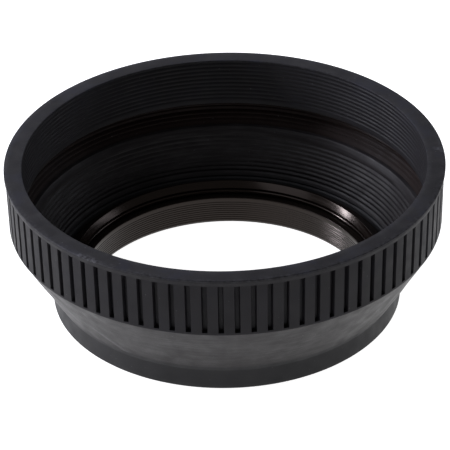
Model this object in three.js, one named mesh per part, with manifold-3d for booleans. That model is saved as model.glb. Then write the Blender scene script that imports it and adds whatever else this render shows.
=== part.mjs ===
// Collapsible rubber lens hood that screws into a 52 mm filter thread.
// It stands on the end of its thread, with the wide mouth up. Millimetres, +Z up along the optical
// axis, and the origin is at the centre of the thread's end face.
//
// The rubber is one moulding with three zones that move differently: a stiff slotted band round the
// mouth, a thin conical web that folds, and a collar that grips the metal. Two metal rings hold it:
// the mount ring with the thread, and a clamp ring pressed down over the mount ring's sleeve.

import * as THREE from 'three';
import { mergeGeometries, mergeVertices } from 'three/addons/utils/BufferGeometryUtils.js';
import Module from 'manifold-3d';

const wasm = await Module();
wasm.setup();

// Driving dimensions.
const FIT_GAP = 0.3;             // left between neighbouring pieces
const ROUND_SEGMENTS = 64;       // facets of the rings without slots

const THREAD_RADIUS = 26;        // M52 x 0.75 filter thread, crest radius
const THREAD_PITCH = 0.75;
const THREAD_DEPTH = 0.46;
const THREAD_LENGTH = 2.3;       // from the end face to the shoulder that meets the lens
const BORE_RADIUS = 24.4;        // clear way for the light
const SLEEVE_RADIUS = 26;        // outside of the mount ring above its flange
const SLEEVE_TOP = 5;
const FLANGE_RADIUS = 28.2;
const FLANGE_TOP = 3.3;

const CLAMP_LIP_RADIUS = 25.15;  // the clamp ring's mouth
const CLAMP_TOP = 7.55;
const CLAMP_SKIRT_RADIUS = 26.9; // outside of the skirt that grips the sleeve
const CLAMP_FLANGE_BOTTOM = 5.7;
const CLAMP_FLANGE_TOP = 6.4;

const COLLAR_RADIUS = 29.4;
const COLLAR_BOTTOM = 2.3;
const WEB_BOTTOM = 7;            // where the collar's soft curve turns into the cone

const BAND_BOTTOM = 17.4;
const BAND_TOP = 27.8;
const BAND_RADIUS = 36.4;
const WALL_RADIUS = 36.2;        // the slotted wall, just inside the rim's edge
const MOUTH_RADIUS = 33.4;       // inner wall of the band
const MOUTH_LIP_HEIGHT = 8.6;    // from the rim down to the relief behind the inner wall
const RELIEF_RADIUS = 34.7;      // wider space behind the lip, where the web starts to bend
const RIM_BEVEL = 0.15;
const RIB_PITCH = 0.77;          // baffle ribs that keep stray light out, on the band and the web
const RIB_DEPTH = 0.25;
const BAND_RIBS = 10;
const WEB_RIBS = 9;

const WEB_TOP_RADIUS = 36;       // outside of the cone where it meets the band
const WEB_SLOPE = 0.575;         // radius gained per millimetre of height
const HINGE_THICKNESS = 0.75;    // radial thickness of the web's thin upper part
const HINGE_BOTTOM = 14.85;
const WEB_THICKNESS = 1.15;      // radial thickness of the rest of the web

const SLOT_COUNT = 88;
const SLOT_WIDTH = 0.76;
const SLOT_DEPTH = 0.8;
const SLOT_BOTTOM = 17.9;
const SLOT_TOP = 26.65;

// Rubber and metal finishes.
const RUBBER = { color: 0x2c2d31, roughness: 0.62, metalness: 0 };
const ANODISED = { color: 0x1b1a19, roughness: 0.38, metalness: 0.6 };
const GLOSS_BLACK = { color: 0x0b0b0c, roughness: 0.16, metalness: 0.5 };

// A ring turned from a section. The section's points are [radius, height], anticlockwise.
function turned(section, segments = ROUND_SEGMENTS) {
  const points = section.map(([radius, height]) => new THREE.Vector2(radius, height));
  points.push(points[0].clone());
  const geometry = new THREE.LatheGeometry(points, segments);
  geometry.rotateX(Math.PI / 2);
  return geometry;
}

// Points of V grooves along a wall, from start towards end. The crests lie on the wall, and the
// grooves go into it by RIB_DEPTH along its radius.
function ribs(start, end, count) {
  const length = Math.hypot(end[0] - start[0], end[1] - start[1]);
  const along = [(end[0] - start[0]) / length, (end[1] - start[1]) / length];
  const points = [];
  for (let rib = 0; rib < count; rib += 1) {
    const crest = rib * RIB_PITCH;
    const groove = crest + RIB_PITCH / 2;
    points.push([start[0] + along[0] * crest, start[1] + along[1] * crest]);
    points.push([start[0] + along[0] * groove + RIB_DEPTH, start[1] + along[1] * groove]);
  }
  points.push([start[0] + along[0] * count * RIB_PITCH, start[1] + along[1] * count * RIB_PITCH]);
  return points;
}

// Cuts a right-hand helical V thread into a cylinder by moving its rows of vertices inwards. The
// thread fades out at its two ends.
function cutThread(geometry, bottom, top) {
  const position = geometry.attributes.position;
  const fade = 0.3;
  for (let i = 0; i < position.count; i += 1) {
    const x = position.getX(i);
    const y = position.getY(i);
    const z = position.getZ(i);
    const radius = Math.hypot(x, y);
    if (z > bottom && z < top && Math.abs(radius - THREAD_RADIUS) < 0.01) {
      const turns = z / THREAD_PITCH - Math.atan2(y, x) / (2 * Math.PI);
      const phase = turns - Math.floor(turns);
      const groove = 1 - Math.abs(2 * phase - 1);
      const strength = Math.min(1, (z - bottom) / fade, (top - z) / fade);
      const scale = (radius - THREAD_DEPTH * groove * strength) / radius;
      position.setXY(i, x * scale, y * scale);
    }
  }
  return geometry;
}

function toSolid(geometry) {
  const bare = geometry.clone();
  bare.deleteAttribute('normal');
  bare.deleteAttribute('uv');
  const merged = mergeVertices(bare, 1e-4);
  return new wasm.Manifold(new wasm.Mesh({
    numProp: 3,
    vertProperties: Float32Array.from(merged.attributes.position.array),
    triVerts: Uint32Array.from(merged.index.array),
  }));
}

function toGeometry(solid) {
  const mesh = solid.getMesh();
  const geometry = new THREE.BufferGeometry();
  geometry.setAttribute('position', new THREE.BufferAttribute(mesh.vertProperties, 3));
  geometry.setIndex(new THREE.BufferAttribute(mesh.triVerts, 1));
  geometry.computeVertexNormals();
  return geometry;
}

function named(name, geometry, finish) {
  const mesh = new THREE.Mesh(geometry, new THREE.MeshStandardMaterial(finish));
  mesh.name = name;
  return mesh;
}

// Outer radius of the web at a height.
function webRadius(height) {
  return WEB_TOP_RADIUS - (BAND_BOTTOM - height) * WEB_SLOPE;
}

// Mount ring: thread, shoulder flange, and a sleeve that the clamp ring is pressed on.
function mountRing() {
  const chamfer = 0.3;
  const rows = 16;
  const threadRows = [];
  for (let row = 0; row <= rows; row += 1) {
    threadRows.push([THREAD_RADIUS, chamfer + (THREAD_LENGTH - chamfer) * row / rows]);
  }
  const ring = turned([
    [BORE_RADIUS, 0],
    [THREAD_RADIUS - chamfer, 0],
    ...threadRows,
    [FLANGE_RADIUS, THREAD_LENGTH],
    [FLANGE_RADIUS, FLANGE_TOP],
    [SLEEVE_RADIUS, FLANGE_TOP],
    [SLEEVE_RADIUS, SLEEVE_TOP],
    [BORE_RADIUS + chamfer, SLEEVE_TOP],
    [BORE_RADIUS, SLEEVE_TOP - chamfer],
  ]);
  return cutThread(ring, chamfer, THREAD_LENGTH);
}

// Clamp ring: a skirt outside the sleeve, a flange on the rubber, and a mouth with a wide bevel and
// a groove, which overhangs a small relief above the sleeve.
function clampRing() {
  const skirtInside = SLEEVE_RADIUS + FIT_GAP;
  const reliefRadius = 25.7;
  const reliefTop = 5.85;
  const rimRadius = 26.4;
  const bevel = 0.95;
  const grooveTop = 6.45;
  const grooveDepth = 0.15;
  return turned([
    [skirtInside, FLANGE_TOP + FIT_GAP],
    [CLAMP_SKIRT_RADIUS, FLANGE_TOP + FIT_GAP],
    [CLAMP_SKIRT_RADIUS, CLAMP_FLANGE_BOTTOM],
    [FLANGE_RADIUS, CLAMP_FLANGE_BOTTOM],
    [FLANGE_RADIUS, CLAMP_FLANGE_TOP],
    [rimRadius, CLAMP_FLANGE_TOP],
    [rimRadius, CLAMP_TOP],
    [CLAMP_LIP_RADIUS + bevel, CLAMP_TOP],
    [CLAMP_LIP_RADIUS, CLAMP_TOP - bevel],
    [CLAMP_LIP_RADIUS, grooveTop],
    [CLAMP_LIP_RADIUS + grooveDepth, grooveTop - grooveDepth],
    [CLAMP_LIP_RADIUS, grooveTop - 2 * grooveDepth],
    [CLAMP_LIP_RADIUS, reliefTop],
    [reliefRadius, reliefTop],
    [reliefRadius, SLEEVE_TOP + FIT_GAP],
    [skirtInside, SLEEVE_TOP + FIT_GAP],
  ]);
}

// Rear collar: rubber cuff whose inner lip is trapped between the two metal flanges.
function rearCollar() {
  const pocketRadius = FLANGE_RADIUS + FIT_GAP;
  const lipRadius = CLAMP_SKIRT_RADIUS + FIT_GAP;
  const chamfer = 0.35;
  const top = WEB_BOTTOM - FIT_GAP;
  const curveStart = 5.6;
  return turned([
    [pocketRadius, COLLAR_BOTTOM],
    [COLLAR_RADIUS - chamfer, COLLAR_BOTTOM],
    [COLLAR_RADIUS, COLLAR_BOTTOM + chamfer],
    [COLLAR_RADIUS, curveStart],
    [webRadius(top), top],
    [webRadius(top) - WEB_THICKNESS, top],
    [pocketRadius, CLAMP_FLANGE_TOP - FIT_GAP],
    [pocketRadius, CLAMP_FLANGE_BOTTOM - FIT_GAP],
    [lipRadius, CLAMP_FLANGE_BOTTOM - FIT_GAP],
    [lipRadius, FLANGE_TOP + FIT_GAP],
    [pocketRadius, FLANGE_TOP + FIT_GAP],
  ]);
}

// Folding web: a cone with a smooth inner ledge below its thin upper part, then baffle ribs.
function foldWeb() {
  const top = BAND_BOTTOM - FIT_GAP;
  const ledgeTop = HINGE_BOTTOM - 0.1;
  const ledgeBottom = HINGE_BOTTOM - 1.5;
  const inner = (height) => [webRadius(height) - WEB_THICKNESS, height];
  return turned([
    [webRadius(WEB_BOTTOM), WEB_BOTTOM],
    [webRadius(top), top],
    [webRadius(top) - HINGE_THICKNESS, top],
    [webRadius(HINGE_BOTTOM) - HINGE_THICKNESS, HINGE_BOTTOM],
    inner(ledgeTop),
    ...ribs(inner(ledgeBottom), inner(WEB_BOTTOM), WEB_RIBS),
    inner(WEB_BOTTOM),
  ]);
}

// Front band: thick rubber round the mouth, with upright slots outside and baffle ribs inside.
function frontBand() {
  const lip = BAND_TOP - MOUTH_LIP_HEIGHT;
  const lipUnderside = 0.7;
  const ribInset = 0.2;
  const chamfer = WALL_RADIUS - WEB_TOP_RADIUS;
  const ring = turned([
    [RELIEF_RADIUS, BAND_BOTTOM],
    [WEB_TOP_RADIUS, BAND_BOTTOM],
    [WALL_RADIUS, BAND_BOTTOM + chamfer],
    [WALL_RADIUS, SLOT_TOP],
    [BAND_RADIUS, BAND_TOP - RIM_BEVEL],
    [BAND_RADIUS - RIM_BEVEL, BAND_TOP],
    [MOUTH_RADIUS + RIM_BEVEL, BAND_TOP],
    [MOUTH_RADIUS, BAND_TOP - RIM_BEVEL],
    ...ribs([MOUTH_RADIUS, BAND_TOP - ribInset], [MOUTH_RADIUS, lip], BAND_RIBS),
    [MOUTH_RADIUS, lip],
    [RELIEF_RADIUS, lip - lipUnderside],
  ], SLOT_COUNT);
  const reach = 1;
  const cutters = [];
  for (let slot = 0; slot < SLOT_COUNT; slot += 1) {
    const cutter = new THREE.BoxGeometry(SLOT_DEPTH + reach, SLOT_WIDTH, SLOT_TOP - SLOT_BOTTOM);
    cutter.translate(WALL_RADIUS + (reach - SLOT_DEPTH) / 2, 0, (SLOT_TOP + SLOT_BOTTOM) / 2);
    cutter.rotateZ((slot + 0.5) * 2 * Math.PI / SLOT_COUNT);
    cutters.push(cutter);
  }
  return toGeometry(toSolid(ring).subtract(toSolid(mergeGeometries(cutters))));
}

const mount = new THREE.Group();
mount.add(named('mount_ring', mountRing(), ANODISED));
mount.add(named('clamp_ring', clampRing(), GLOSS_BLACK));
mount.add(named('rear_collar', rearCollar(), RUBBER));
mount.add(named('fold_web', foldWeb(), RUBBER));

const hood = new THREE.Group();
hood.add(mount);
hood.add(named('front_grip_band', frontBand(), RUBBER));

export default hood;
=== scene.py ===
"""Collapsible black rubber lens hood, standing on its thread with the wide mouth up.

The rubber is one moulding, made here as three pieces that meet without a gap: the slotted band, the
folding web and the collar. Two metal rings hold the collar. Lengths in this script are millimetres,
and MM turns them into Blender's metres.
"""

import math

import bpy
import numpy as np
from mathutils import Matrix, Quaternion, Vector


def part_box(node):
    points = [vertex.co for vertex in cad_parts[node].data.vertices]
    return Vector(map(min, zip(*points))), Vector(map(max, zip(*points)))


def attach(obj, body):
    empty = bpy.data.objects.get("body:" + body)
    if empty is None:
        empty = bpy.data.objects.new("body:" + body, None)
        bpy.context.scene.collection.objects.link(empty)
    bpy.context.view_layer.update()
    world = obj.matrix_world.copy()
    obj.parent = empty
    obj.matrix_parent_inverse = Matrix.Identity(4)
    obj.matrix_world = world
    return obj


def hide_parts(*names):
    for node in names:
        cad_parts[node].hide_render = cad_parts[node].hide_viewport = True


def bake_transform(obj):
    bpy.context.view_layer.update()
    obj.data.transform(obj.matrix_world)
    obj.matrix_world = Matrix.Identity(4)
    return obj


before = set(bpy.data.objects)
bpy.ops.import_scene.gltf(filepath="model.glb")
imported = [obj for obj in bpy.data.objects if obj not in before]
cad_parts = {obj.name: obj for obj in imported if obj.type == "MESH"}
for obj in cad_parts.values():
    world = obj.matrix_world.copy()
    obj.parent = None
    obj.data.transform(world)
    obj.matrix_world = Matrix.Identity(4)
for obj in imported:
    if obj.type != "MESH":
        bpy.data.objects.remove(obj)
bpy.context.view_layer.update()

MM = 0.001
FULL_TURN = 2 * math.pi


def millimetres(node):
    """Low and high corners of a CAD node's box."""
    low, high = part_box(node)
    return low / MM, high / MM


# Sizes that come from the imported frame.
band_low, band_high = millimetres("front_grip_band")
mount_high = millimetres("mount_ring")[1]
clamp_low, clamp_high = millimetres("clamp_ring")

BAND_RADIUS = band_high.x
BAND_TOP = band_high.z
BAND_BOTTOM = band_low.z
WEB_BOTTOM = millimetres("fold_web")[0].z
COLLAR_BOTTOM = millimetres("rear_collar")[0].z
FLANGE_RADIUS = mount_high.x
SLEEVE_TOP = mount_high.z
CLAMP_TOP = clamp_high.z
CLAMP_BOTTOM = clamp_low.z

# Sizes of the rubber that the frame's boxes don't give.
WALL_RADIUS = BAND_RADIUS - 0.2
MOUTH_RADIUS = 33.4
LIP_BOTTOM = BAND_TOP - 8.6
RELIEF_RADIUS = 34.7
RIB_PITCH = 0.77
WEB_TOP_RADIUS = BAND_RADIUS - 0.45
WEB_SLOPE = 0.575
HINGE_BOTTOM = BAND_BOTTOM - 2.6
COLLAR_RADIUS = 29.4
SLOT_COUNT = 88
SLOT_PERIOD = FULL_TURN / SLOT_COUNT
SLOT_HALF_WIDTH = 0.37
SLOT_DEPTH = 0.85
SLOT_BOTTOM = BAND_BOTTOM + 0.5
SLOT_TOP = BAND_TOP - 1.15

# Sizes of the metal that the frame's boxes don't give.
BORE_RADIUS = 24.4
BORE_GROOVES = 10
BORE_GROOVE_PITCH = 0.43
THREAD_RADIUS = 26.0
THREAD_PITCH = 0.75
THREAD_DEPTH = 0.4
THREAD_LENGTH = 2.3
SLEEVE_RADIUS = 26.0
FLANGE_TOP = 3.3
CLAMP_FLANGE_BOTTOM = 5.7
CLAMP_FLANGE_TOP = 6.4
CLAMP_MOUTH_RADIUS = 25.17
GAP = 0.3


def smooth_step(value, start, end):
    t = np.clip((value - start) / (end - start), 0, 1)
    return t * t * (3 - 2 * t)


# ---------------------------------------------------------------- outlines and turned meshes

# Corners of one baffle groove, as shares of the pitch and of the depth.
RIB_SECTION = ((0.12, 0), (0.34, 1), (0.56, 1), (0.8, 0))


def outline(corners, steps=3):
    """Closed outline from (radius, height, rounding) corners, with round corners as arcs."""
    nearly_straight = 1.55
    points = []
    count = len(corners)
    for index in range(count):
        corner = Vector(corners[index][:2])
        rounding = corners[index][2] if len(corners[index]) > 2 else 0
        before = Vector(corners[index - 1][:2]) - corner
        after = Vector(corners[(index + 1) % count][:2]) - corner
        half = before.angle(after) / 2
        if rounding == 0 or half > nearly_straight:
            points.append(tuple(corner))
            continue
        reach = min(rounding / math.tan(half), before.length / 2, after.length / 2)
        radius = reach * math.tan(half)
        arc = steps if rounding >= 0.1 else 1
        inwards = (before.normalized() + after.normalized()).normalized()
        middle = corner + inwards * (radius / math.sin(half))
        first = corner + before.normalized() * reach - middle
        last = corner + after.normalized() * reach - middle
        sweep = first.angle_signed(last)
        for step in range(arc + 1):
            turn = -sweep * step / arc
            cosine, sine = math.cos(turn), math.sin(turn)
            points.append((middle.x + first.x * cosine - first.y * sine,
                           middle.y + first.x * sine + first.y * cosine))
    return points


def divided(points, longest):
    """The same closed outline with no stretch longer than longest."""
    result = []
    for start, end in zip(points, points[1:] + points[:1]):
        pieces = max(1, math.ceil(math.dist(start, end) / longest))
        for piece in range(pieces):
            t = piece / pieces
            result.append((start[0] + (end[0] - start[0]) * t, start[1] + (end[1] - start[1]) * t))
    return result


def ribs(start, end, count, depth):
    """Shallow grooves along a wall from start towards end, RIB_PITCH apart, as outline corners."""
    start, end = Vector(start), Vector(end)
    along = (end - start).normalized()
    corners = []
    for rib in range(count):
        for share, sink in RIB_SECTION:
            place = start + along * RIB_PITCH * (rib + share)
            corners.append((place.x + depth * sink, place.y, 0.06))
    return corners


def store(mesh, name, kind, values):
    attribute = mesh.attributes.new(name, kind, "POINT")
    attribute.data.foreach_set("vector" if kind == "FLOAT_VECTOR" else "value", np.ravel(values))


def turned(name, points, columns, shape=None, paint=None):
    """Mesh of a closed outline, anticlockwise in (radius, height), turned round the axis.

    Columns are the angles of its vertices, and shape moves them in radius. The mesh keeps its resting
    places in millimetres, and the masks that paint returns, for the materials to read.
    """
    radius, height = (np.repeat(v[:, None], len(columns), 1) for v in np.array(points).T)
    angle = np.repeat(columns[None, :], len(points), 0)
    masks = paint(radius, height, angle) if paint else {}
    if shape:
        radius = shape(radius, height, angle)
    places = np.stack([radius * np.cos(angle), radius * np.sin(angle), height], -1).reshape(-1, 3)
    rows, wide = len(points), len(columns)
    row = np.repeat(np.arange(rows), wide)
    column = np.tile(np.arange(wide), rows)
    next_row, next_column = (row + 1) % rows, (column + 1) % wide
    faces = np.stack([row * wide + column, row * wide + next_column,
                      next_row * wide + next_column, next_row * wide + column], 1)
    mesh = bpy.data.meshes.new(name)
    mesh.from_pydata((places * MM).tolist(), [], faces.tolist())
    store(mesh, "rest", "FLOAT_VECTOR", places)
    for mask, values in masks.items():
        store(mesh, mask, "FLOAT", values)
    mesh.shade_smooth()
    mesh.set_sharp_from_angle(angle=math.radians(38))
    piece = bpy.data.objects.new(name, mesh)
    bpy.context.scene.collection.objects.link(piece)
    return piece


def even_columns(count):
    return np.arange(count) * FULL_TURN / count


# ---------------------------------------------------------------- materials

class Finish:
    """A node material, with short calls for the nodes that the finishes share."""

    def __init__(self, name):
        self.material = bpy.data.materials.new(name)
        self.material.use_nodes = True
        self.tree = self.material.node_tree
        self.shader = self.tree.nodes["Principled BSDF"]
        self.place = self.node("ShaderNodeAttribute", {"attribute_name": "rest"}).outputs["Vector"]

    def node(self, kind, settings=None, **inputs):
        made = self.tree.nodes.new(kind)
        for key, value in (settings or {}).items():
            setattr(made, key, value)
        for key, value in inputs.items():
            self.feed(made.inputs[key.replace("_", " ")], value)
        return made

    def feed(self, socket, value):
        if isinstance(value, bpy.types.NodeSocket):
            self.tree.links.new(value, socket)
        else:
            socket.default_value = value

    def math(self, operation, first, second=0.0):
        made = self.node("ShaderNodeMath", {"operation": operation})
        self.feed(made.inputs[0], first)
        self.feed(made.inputs[1], second)
        return made.outputs[0]

    def mask(self, name):
        return self.node("ShaderNodeAttribute", {"attribute_name": name}).outputs["Fac"]

    def noise(self, size, detail=3.0, roughness=0.5, place=None):
        """Noise whose blotches are about size millimetres across."""
        return self.node("ShaderNodeTexNoise", Vector=place or self.place, Scale=1 / size,
                         Detail=detail, Roughness=roughness).outputs["Fac"]

    def ramp(self, value, low, high, start=0.0, end=1.0):
        return self.node("ShaderNodeMapRange", {"clamp": True}, Value=value, From_Min=low,
                         From_Max=high, To_Min=start, To_Max=end).outputs["Result"]

    def mix(self, amount, first, second):
        made = self.node("ShaderNodeMix", {"data_type": "RGBA"})
        self.feed(made.inputs["Factor"], amount)
        self.feed(made.inputs[6], first)
        self.feed(made.inputs[7], second)
        return made.outputs[2]

    def bump(self, height, distance, strength, normal=None):
        made = self.node("ShaderNodeBump", Height=height, Distance=distance * MM, Strength=strength)
        if normal is not None:
            self.feed(made.inputs["Normal"], normal)
        return made.outputs["Normal"]

    def round_place(self, along, across):
        """Coordinates for streaks round the axis: along and across say how fine they are."""
        apart = self.node("ShaderNodeSeparateXYZ", Vector=self.place).outputs
        flat = self.node("ShaderNodeCombineXYZ", X=apart["X"], Y=apart["Y"]).outputs["Vector"]
        length = self.node("ShaderNodeVectorMath", {"operation": "LENGTH"})
        self.feed(length.inputs[0], flat)
        radius = length.outputs["Value"]
        angle = self.math("ARCTAN2", apart["Y"], apart["X"])
        east = self.math("MULTIPLY", self.math("COSINE", angle), along)
        north = self.math("MULTIPLY", self.math("SINE", angle), along)
        drop = self.math("SUBTRACT", apart["Z"], self.math("MULTIPLY", radius, 0.6))
        return self.node("ShaderNodeCombineXYZ", X=east, Y=north,
                         Z=self.math("MULTIPLY", drop, across)).outputs["Vector"]


def colour(red, green, blue):
    return (red, green, blue, 1)


DUST = colour(0.12, 0.12, 0.125)
# Pale rub colour: rub marks on the band's rim, and a painted highlight on the web's crease.
RUBBED_AND_HIGHLIGHT = colour(0.09, 0.09, 0.1)
BLOOM = colour(0.019, 0.0198, 0.029)
STREAK = colour(0.1, 0.1, 0.1)


def rubber(name, dark, light, gloss, shine, streaks=0.0):
    """Matt moulded rubber: fine grain, blotches, streaks, dust specks, rub marks that also paint a
    highlight on the web's crease, and bloom.
    """
    finish = Finish(name)
    tone = finish.mix(finish.ramp(finish.noise(6, 4), 0.35, 0.7), dark, light)
    if streaks:
        streak = finish.noise(1, 5, 0.65, finish.round_place(5, 4.5))
        tone = finish.mix(finish.ramp(streak, 0.45, 0.8, 0, streaks), tone, STREAK)
    tone = finish.mix(finish.ramp(finish.noise(0.35, 1), 0.755, 0.81, 0, 0.5), tone, DUST)
    # Rub marks, and along the web's crease a painted highlight.
    rub_and_highlight = finish.ramp(finish.noise(0.5, 3), 0.35, 0.7)
    tone = finish.mix(finish.math("MULTIPLY", finish.mask("wear"), rub_and_highlight), tone, RUBBED_AND_HIGHLIGHT)
    bloom = finish.ramp(finish.noise(5, 6, 0.62), 0.5, 0.62, 0, 0.65)
    tone = finish.mix(finish.math("MULTIPLY", finish.mask("bloom"), bloom), tone, BLOOM)
    finish.feed(finish.shader.inputs["Base Color"], tone)
    roughness = finish.ramp(finish.noise(2.5, 5), 0.3, 0.7, gloss - 0.07, gloss + 0.08)
    finish.feed(finish.shader.inputs["Roughness"], roughness)
    finish.shader.inputs["Specular IOR Level"].default_value = shine
    peel = finish.bump(finish.noise(1.3, 2), 0.05, 0.35)
    grain = finish.bump(finish.noise(0.16, 3), 0.03, 0.4, peel)
    finish.feed(finish.shader.inputs["Normal"], grain)
    return finish.material


def metal(name, dark, light, gloss, shine, tint):
    """Black metal with turning marks round the axis, in its tone, gloss and surface."""
    finish = Finish(name)
    turning = finish.noise(1, 3, 0.6, finish.round_place(2, 9))
    tone = finish.mix(finish.ramp(turning, 0.3, 0.7), dark, light)
    finish.feed(finish.shader.inputs["Base Color"], tone)
    roughness = finish.ramp(turning, 0.3, 0.7, gloss - 0.05, gloss + 0.07)
    finish.feed(finish.shader.inputs["Roughness"], roughness)
    finish.shader.inputs["Specular IOR Level"].default_value = shine
    finish.shader.inputs["Specular Tint"].default_value = tint
    finish.feed(finish.shader.inputs["Normal"], finish.bump(turning, 0.01, 0.3))
    return finish.material


RUBBER_BAND = rubber("rubber_band", dark=colour(0.0083, 0.0075, 0.0089),
                     light=colour(0.0114, 0.0106, 0.0124), gloss=0.54, shine=0.14)
RUBBER_COLLAR = rubber("rubber_collar", dark=colour(0.0082, 0.0081, 0.0092),
                       light=colour(0.0118, 0.0116, 0.013), gloss=0.52, shine=0.19)
RUBBER_WEB = rubber("rubber_web", dark=colour(0.0088, 0.0071, 0.008),
                    light=colour(0.0103, 0.0086, 0.0097), gloss=0.46, shine=0.19, streaks=0.22)
# Darker, browner, less shiny copy of the rubber: painted shade for the hollow behind the lip.
RUBBER_PAINTED_SHADE = rubber("rubber_painted_shade", dark=colour(0.0082, 0.0042, 0.0034),
                       light=colour(0.011, 0.0058, 0.0046), gloss=0.55, shine=0.1)
ANODISED = metal("anodised", dark=colour(0.0075, 0.0058, 0.005),
                 light=colour(0.012, 0.0093, 0.0078), gloss=0.22, shine=0.28,
                 tint=colour(1, 0.84, 0.76))
GLOSS_BLACK = metal("gloss_black", dark=colour(0.0055, 0.0036, 0.003),
                    light=colour(0.008, 0.0055, 0.0046), gloss=0.17, shine=0.29,
                    tint=colour(1, 0.84, 0.74))


# ---------------------------------------------------------------- band

def web_radius(height):
    """Outer radius of the web's cone."""
    return WEB_TOP_RADIUS - (BAND_BOTTOM - height) * WEB_SLOPE


def slot_columns():
    """Angles of the band's columns: close together at the slots' edges, wider on the bars."""
    half = [SLOT_HALF_WIDTH + step for step in (-0.06, -0.02, 0.02, 0.08)]
    offsets = [-v for v in reversed(half)] + [0] + half
    steps = [v / WALL_RADIUS for v in offsets] + [SLOT_PERIOD / 2]
    return np.array([(slot + 0.5) * SLOT_PERIOD + step for slot in range(SLOT_COUNT) for step in steps])


def cut_slots(radius, height, angle):
    """Moves the outer wall inwards in every slot."""
    across = np.abs((angle / SLOT_PERIOD) % 1 - 0.5) * SLOT_PERIOD * WALL_RADIUS
    inside = 1 - smooth_step(across, SLOT_HALF_WIDTH - 0.05, SLOT_HALF_WIDTH + 0.05)
    inside *= smooth_step(height, SLOT_BOTTOM - 0.03, SLOT_BOTTOM + 0.04)
    inside *= 1 - smooth_step(height, SLOT_TOP - 0.04, SLOT_TOP + 0.03)
    on_wall = radius > WALL_RADIUS - 0.3
    return np.where(on_wall, radius - SLOT_DEPTH * inside, radius)


def in_recess(radius, height):
    """True in the hollow behind the mouth's lip, where a darker rubber paints its shade."""
    web_wall = web_radius(height) - 0.4
    wall = np.where(height > BAND_BOTTOM - 0.01, RELIEF_RADIUS + 0.15, web_wall)
    return (radius < wall) & (height > HINGE_BOTTOM - 0.05) & (height < LIP_BOTTOM - 0.05)


def band_paint(radius, height, angle):
    """Rubbed edges of the rim, with two scuffs and two scratches, and where pale bloom gathers.

    A scuff has its place and width in degrees. A scratch has its place, and the radius it starts at.
    """
    scuffs = ((231.5, 1.6), (234.5, 0.9))
    scratches = ((2.6, 35.3), (1.45, 36.0))
    turn = np.degrees(angle) % 360
    outer = smooth_step(radius, BAND_RADIUS - 0.45, BAND_RADIUS - 0.1)
    inner = 1 - smooth_step(radius, MOUTH_RADIUS, MOUTH_RADIUS + 0.3)
    at_rim = smooth_step(height, BAND_TOP - 0.5, BAND_TOP - 0.1)
    wear = 0.3 * outer + 0.2 * inner
    for place, width in scuffs:
        wear += 1.7 * outer * np.exp(-((turn - place) / width) ** 2)
    for place, start in scratches:
        wear += 2.5 * (radius > start) * np.exp(-((turn - place) / 0.15) ** 2)
    wear = at_rim * np.clip(wear, 0, 1.2)
    return {"wear": wear, "bloom": 0.2 + 0.8 * at_rim, "recess": in_recess(radius, height)}


def grip_band():
    foot_radius = WALL_RADIUS - 0.15
    rib_top = BAND_TOP - 0.15
    relief_top = LIP_BOTTOM - 0.65
    relief_wall = RELIEF_RADIUS - 0.15
    corners = [
        (RELIEF_RADIUS, BAND_BOTTOM),
        (foot_radius, BAND_BOTTOM, 0.15),
        (foot_radius, SLOT_BOTTOM - 0.03),
        (foot_radius, SLOT_BOTTOM),
        (foot_radius, SLOT_BOTTOM + 0.04),
        (WALL_RADIUS, SLOT_TOP - 0.04),
        (WALL_RADIUS, SLOT_TOP),
        (WALL_RADIUS, SLOT_TOP + 0.03),
        (BAND_RADIUS, BAND_TOP - 0.45, 0.1),
        (BAND_RADIUS, BAND_TOP, 0.12),
        (MOUTH_RADIUS, BAND_TOP, 0.12),
        *ribs((MOUTH_RADIUS, rib_top), (MOUTH_RADIUS, LIP_BOTTOM), 10, 0.14),
        (MOUTH_RADIUS, LIP_BOTTOM, 0.12),
        (RELIEF_RADIUS, relief_top, 0.15),
        *ribs((relief_wall, relief_top - 0.1), (relief_wall, BAND_BOTTOM), 1, 0.24),
    ]
    points = divided(outline(corners), 1.2)
    return turned("grip_band", points, slot_columns(), cut_slots, band_paint)


# ---------------------------------------------------------------- web

def on_cone(radius, height):
    """True on the cone's outside."""
    return np.abs(radius - web_radius(height)) < 0.05


def crease_place(angle, height):
    """How much of the cone's crease is at each place, as its ridge and as the dent below it.

    The ridge falls as it goes round, between two angles in degrees.
    """
    ridge_angles, ridge_heights = (227, 238), (11.3, 6.7)
    turn = np.degrees(angle) % 360
    below = np.interp(turn, ridge_angles, ridge_heights) - height
    along = smooth_step(turn, 224, 229) * (1 - smooth_step(turn, 236, 238.5))
    ridge = np.exp(-(below / 0.4) ** 2)
    dent = smooth_step(below, 0.2, 1.2) * (1 - smooth_step(below, 1.2, 3.5))
    return ridge * along, dent * along


def crease(radius, height, angle):
    """A diagonal crease on the left of the cone, as a hood that has often been folded keeps."""
    ridge, dent = crease_place(angle, height)
    ripple = 0.05 * np.sin(angle * 5 + height * 0.4) * np.sin(height * 0.7 + 1)
    seams = smooth_step(height, WEB_BOTTOM, WEB_BOTTOM + 0.7)
    seams *= 1 - smooth_step(height, BAND_BOTTOM - 1, BAND_BOTTOM)
    moved = radius + (0.13 * ridge - 0.12 * dent + ripple) * seams
    return np.where(on_cone(radius, height), moved, radius)


def web_paint(radius, height, angle):
    """Painted highlight along the ridge of the cone's crease."""
    ridge = crease_place(angle, height)[0]
    # The crease's ridge gets the pale rub colour as a painted highlight.
    return {"wear": 0.7 * ridge * on_cone(radius, height), "recess": in_recess(radius, height)}


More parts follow.
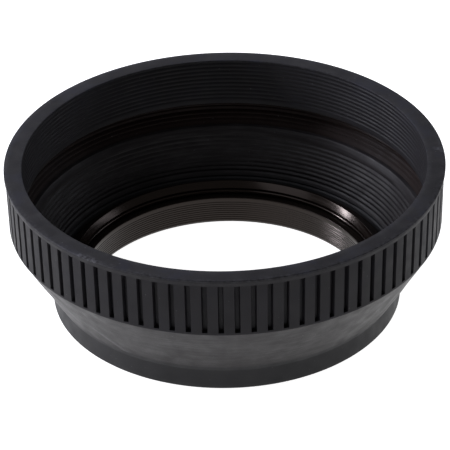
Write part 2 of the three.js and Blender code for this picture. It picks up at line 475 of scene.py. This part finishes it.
def folding_web():
    top_thickness, bottom_thickness = 1.3, 0.85
    ledge_top = HINGE_BOTTOM - 0.12
    ledge_bottom = HINGE_BOTTOM - 1.4

    def hinge(height):
        return web_radius(height) - 0.7

    def inner(height):
        share = (height - WEB_BOTTOM) / (HINGE_BOTTOM - WEB_BOTTOM)
        return web_radius(height) - bottom_thickness - (top_thickness - bottom_thickness) * share

    hinge_start = (hinge(BAND_BOTTOM) - 0.1, BAND_BOTTOM - 0.15)
    hinge_end = (hinge(HINGE_BOTTOM) - 0.1, HINGE_BOTTOM)
    corners = [
        (web_radius(WEB_BOTTOM), WEB_BOTTOM),
        (web_radius(BAND_BOTTOM), BAND_BOTTOM),
        (hinge(BAND_BOTTOM), BAND_BOTTOM),
        *ribs(hinge_start, hinge_end, 3, 0.24),
        (hinge(HINGE_BOTTOM), HINGE_BOTTOM, 0.1),
        (inner(ledge_top), ledge_top, 0.3),
        *ribs((inner(ledge_bottom), ledge_bottom), (inner(WEB_BOTTOM), WEB_BOTTOM), 9, 0.16),
        (inner(WEB_BOTTOM), WEB_BOTTOM),
    ]
    points = divided(outline(corners), 0.7)
    return turned("folding_web", points, even_columns(480), crease, web_paint)


# ---------------------------------------------------------------- collar

def collar():
    """Cuff with an inner lip between the two metal flanges, and a soft bend up to the web."""
    pocket = FLANGE_RADIUS + GAP
    lip = 27.2
    bend = (WEB_TOP_RADIUS - COLLAR_RADIUS) / WEB_SLOPE
    seam = web_radius(WEB_BOTTOM) - 0.85
    corners = [
        (pocket, COLLAR_BOTTOM),
        (COLLAR_RADIUS - 0.3, COLLAR_BOTTOM, 0.1),
        (COLLAR_RADIUS, COLLAR_BOTTOM + 0.3, 0.15),
        (COLLAR_RADIUS, BAND_BOTTOM - bend, 0.45),
        (web_radius(WEB_BOTTOM), WEB_BOTTOM),
        (seam, WEB_BOTTOM),
        (seam - 0.08, WEB_BOTTOM - 0.13, 0.05),
        (seam + 0.05, WEB_BOTTOM - 0.36, 0.05),
        (seam - 0.25, WEB_BOTTOM - 0.6, 0.1),
        (pocket, CLAMP_FLANGE_BOTTOM - GAP),
        (lip, CLAMP_FLANGE_BOTTOM - GAP, 0.1),
        (lip, FLANGE_TOP + GAP, 0.1),
        (pocket, FLANGE_TOP + GAP),
    ]
    points = divided(outline(corners), 0.8)
    return turned("collar", points, even_columns(360))


# ---------------------------------------------------------------- metal

def cut_thread(radius, height, angle):
    """Right-hand helical thread on the spigot, fading out at both ends."""
    turns = height / THREAD_PITCH - angle / FULL_TURN
    groove = 1 - np.abs(2 * (turns - np.floor(turns)) - 1)
    groove = np.clip(groove * 1.3 - 0.15, 0, 1)
    strength = smooth_step(height, 0.15, 0.5)
    strength *= 1 - smooth_step(height, THREAD_LENGTH - 0.35, THREAD_LENGTH - 0.05)
    on_thread = (np.abs(radius - THREAD_RADIUS) < 0.01) & (height > 0.1) & (height < THREAD_LENGTH)
    return np.where(on_thread, radius - THREAD_DEPTH * groove * strength, radius)


def thread_ring():
    """Thread, shoulder and sleeve, with fine turned grooves in the bore."""
    chamfer = 0.25
    thread_rows = 30
    thread = [(THREAD_RADIUS, chamfer + (THREAD_LENGTH - chamfer) * row / thread_rows)
              for row in range(thread_rows)]
    grooves = []
    for groove in range(BORE_GROOVES):
        top = SLEEVE_TOP - 0.55 - groove * BORE_GROOVE_PITCH
        grooves += [(BORE_RADIUS, top), (BORE_RADIUS, top - 0.28), (BORE_RADIUS + 0.075, top - 0.355)]
    corners = [
        (BORE_RADIUS + 0.15, 0),
        (THREAD_RADIUS - chamfer, 0),
        *thread,
        (THREAD_RADIUS, THREAD_LENGTH),
        (FLANGE_RADIUS, THREAD_LENGTH, 0.1),
        (FLANGE_RADIUS, FLANGE_TOP, 0.1),
        (SLEEVE_RADIUS, FLANGE_TOP),
        (SLEEVE_RADIUS, SLEEVE_TOP),
        (BORE_RADIUS, SLEEVE_TOP, 0.12),
        *grooves,
    ]
    return turned("thread_ring", outline(corners), even_columns(360), cut_thread)


def inner_ring():
    """Skirt over the sleeve, flange over the collar's lip, and a wide sloped mouth with a groove."""
    skirt_inside = SLEEVE_RADIUS + GAP
    skirt_outside = 26.9
    rim_foot, rim_top = 26.75, 26.5
    relief = 25.7
    mouth = CLAMP_MOUTH_RADIUS
    corners = [
        (skirt_inside, CLAMP_BOTTOM),
        (skirt_outside, CLAMP_BOTTOM),
        (skirt_outside, CLAMP_FLANGE_BOTTOM),
        (FLANGE_RADIUS, CLAMP_FLANGE_BOTTOM, 0.1),
        (FLANGE_RADIUS, CLAMP_FLANGE_TOP, 0.1),
        (rim_foot, CLAMP_FLANGE_TOP),
        (rim_top, CLAMP_TOP, 0.2),
        (mouth + 0.95, CLAMP_TOP, 0.1),
        (mouth + 0.14, CLAMP_TOP - 1.0),
        (mouth + 0.2, CLAMP_TOP - 1.08),
        (mouth + 0.5, CLAMP_TOP - 1.2),
        (mouth + 0.5, CLAMP_TOP - 1.38),
        (mouth + 0.1, CLAMP_TOP - 1.46, 0.03),
        (mouth - 0.02, CLAMP_TOP - 1.6, 0.03),
        (relief, CLAMP_TOP - 1.7),
        (relief, SLEEVE_TOP + GAP),
        (skirt_inside, SLEEVE_TOP + GAP),
    ]
    return turned("inner_ring", outline(corners), even_columns(360))


# ---------------------------------------------------------------- assembly

def paint_recess_shade(piece):
    """Gives the faces in the hollow behind the lip a darker, less shiny rubber: painted shade."""
    mesh = piece.data
    recess = np.empty(len(mesh.vertices), np.float32)
    mesh.attributes["recess"].data.foreach_get("value", recess)
    corners = np.empty(len(mesh.loops), np.int32)
    mesh.loops.foreach_get("vertex_index", corners)
    deep = recess[corners].reshape(-1, 4).min(1) > 0.5
    mesh.materials.append(RUBBER_PAINTED_SHADE)
    mesh.polygons.foreach_set("material_index", deep.astype(np.int32))


def finish_piece(piece, material, node):
    """Gives a piece its material and its material slot, and hides the CAD node it stands for."""
    piece.data.materials.append(material)
    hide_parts(node)
    return piece


band = finish_piece(grip_band(), RUBBER_BAND, "front_grip_band")
# Painted shade in the hollow behind the lip, on the band and on the web.
paint_recess_shade(band)
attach(band, "front_band")

web = finish_piece(folding_web(), RUBBER_WEB, "fold_web")
paint_recess_shade(web)
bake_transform(web)

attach(finish_piece(collar(), RUBBER_COLLAR, "rear_collar"), "mount")
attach(finish_piece(thread_ring(), ANODISED, "mount_ring"), "mount")
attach(finish_piece(inner_ring(), GLOSS_BLACK, "clamp_ring"), "mount")


# ---------------------------------------------------------------- floor, light and camera

def make_floor():
    """White floor that glows, as a light table does."""
    reach = 4.0
    mesh = bpy.data.meshes.new("floor")
    corners = [(-reach, -reach, 0), (reach, -reach, 0), (reach, reach, 0), (-reach, reach, 0)]
    mesh.from_pydata(corners, [], [(0, 1, 2, 3)])
    floor = bpy.data.objects.new("floor", mesh)
    bpy.context.scene.collection.objects.link(floor)
    material = bpy.data.materials.new("floor_white")
    material.use_nodes = True
    shader = material.node_tree.nodes["Principled BSDF"]
    shader.inputs["Base Color"].default_value = colour(0.6, 0.6, 0.6)
    shader.inputs["Roughness"].default_value = 0.9
    shader.inputs["Specular IOR Level"].default_value = 0.1
    shader.inputs["Emission Color"].default_value = colour(1, 1, 1)
    shader.inputs["Emission Strength"].default_value = 1.0
    mesh.materials.append(material)


def direction(azimuth, elevation):
    """Unit vector from the hood. Azimuth 0 is the viewer's side and 90 is the right-hand side."""
    a, e = math.radians(azimuth), math.radians(elevation)
    return Vector((math.sin(a) * math.cos(e), -math.cos(a) * math.cos(e), math.sin(e)))


def place_facing(thing, away, distance):
    """Puts a lamp or camera away from the mouth's centre and turns it towards that point."""
    thing.location = Vector((0, 0, BAND_TOP * MM)) + away * distance
    thing.rotation_mode = "QUATERNION"
    thing.rotation_quaternion = away.to_track_quat("Z", "Y")
    bpy.context.scene.collection.objects.link(thing)


def area_light(name, azimuth, elevation, distance, width, height, power):
    """A softbox aimed at the hood. Its distance and size are in metres."""
    light = bpy.data.lights.new(name, "AREA")
    light.shape = "RECTANGLE"
    light.size = width
    light.size_y = height
    light.energy = power
    light.color = (0.97, 0.98, 1.1)
    place_facing(bpy.data.objects.new(name, light), direction(azimuth, elevation), distance)


def make_lights():
    """Dim white room, large soft boxes, and two small ones on the left for sheen and glints."""
    world = bpy.data.worlds.new("studio")
    world.use_nodes = True
    background = world.node_tree.nodes["Background"]
    background.inputs["Color"].default_value = colour(1, 1, 1)
    background.inputs["Strength"].default_value = 0.145
    bpy.context.scene.world = world
    area_light("left_low", -95, 14, 0.7, 0.14, 0.2, 3.2)
    for name, azimuth, elevation, power in (("left_high", -110, 50, 1.0), ("left_back", -150, 30, 1.4),
                                            ("left_front", -55, 50, 0.6), ("right", 108, 18, 1.5),
                                            ("back", 180, 32, 0.9)):
        area_light(name, azimuth, elevation, 0.9, 0.45, 0.45, power)
    area_light("glint", -104, 30, 0.7, 0.06, 0.18, 1.7)
    bpy.context.scene.view_settings.view_transform = "Standard"


def make_camera():
    """Long lens, from in front and above. Its angles are in degrees."""
    azimuth, elevation = -0.44, 31.13
    tilt, turn, roll = -1.43, 0.015, -1.12
    camera = bpy.data.cameras.new("camera")
    camera.sensor_width = 36
    camera.lens = 211.8
    camera.clip_start = 0.01
    viewer = bpy.data.objects.new("camera", camera)
    place_facing(viewer, direction(azimuth, elevation), 12 * BAND_RADIUS * MM)
    for axis, degrees in (((1, 0, 0), tilt), ((0, 1, 0), turn), ((0, 0, 1), roll)):
        viewer.rotation_quaternion @= Quaternion(axis, math.radians(degrees))
    bpy.context.scene.camera = viewer


make_floor()
make_lights()
make_camera()
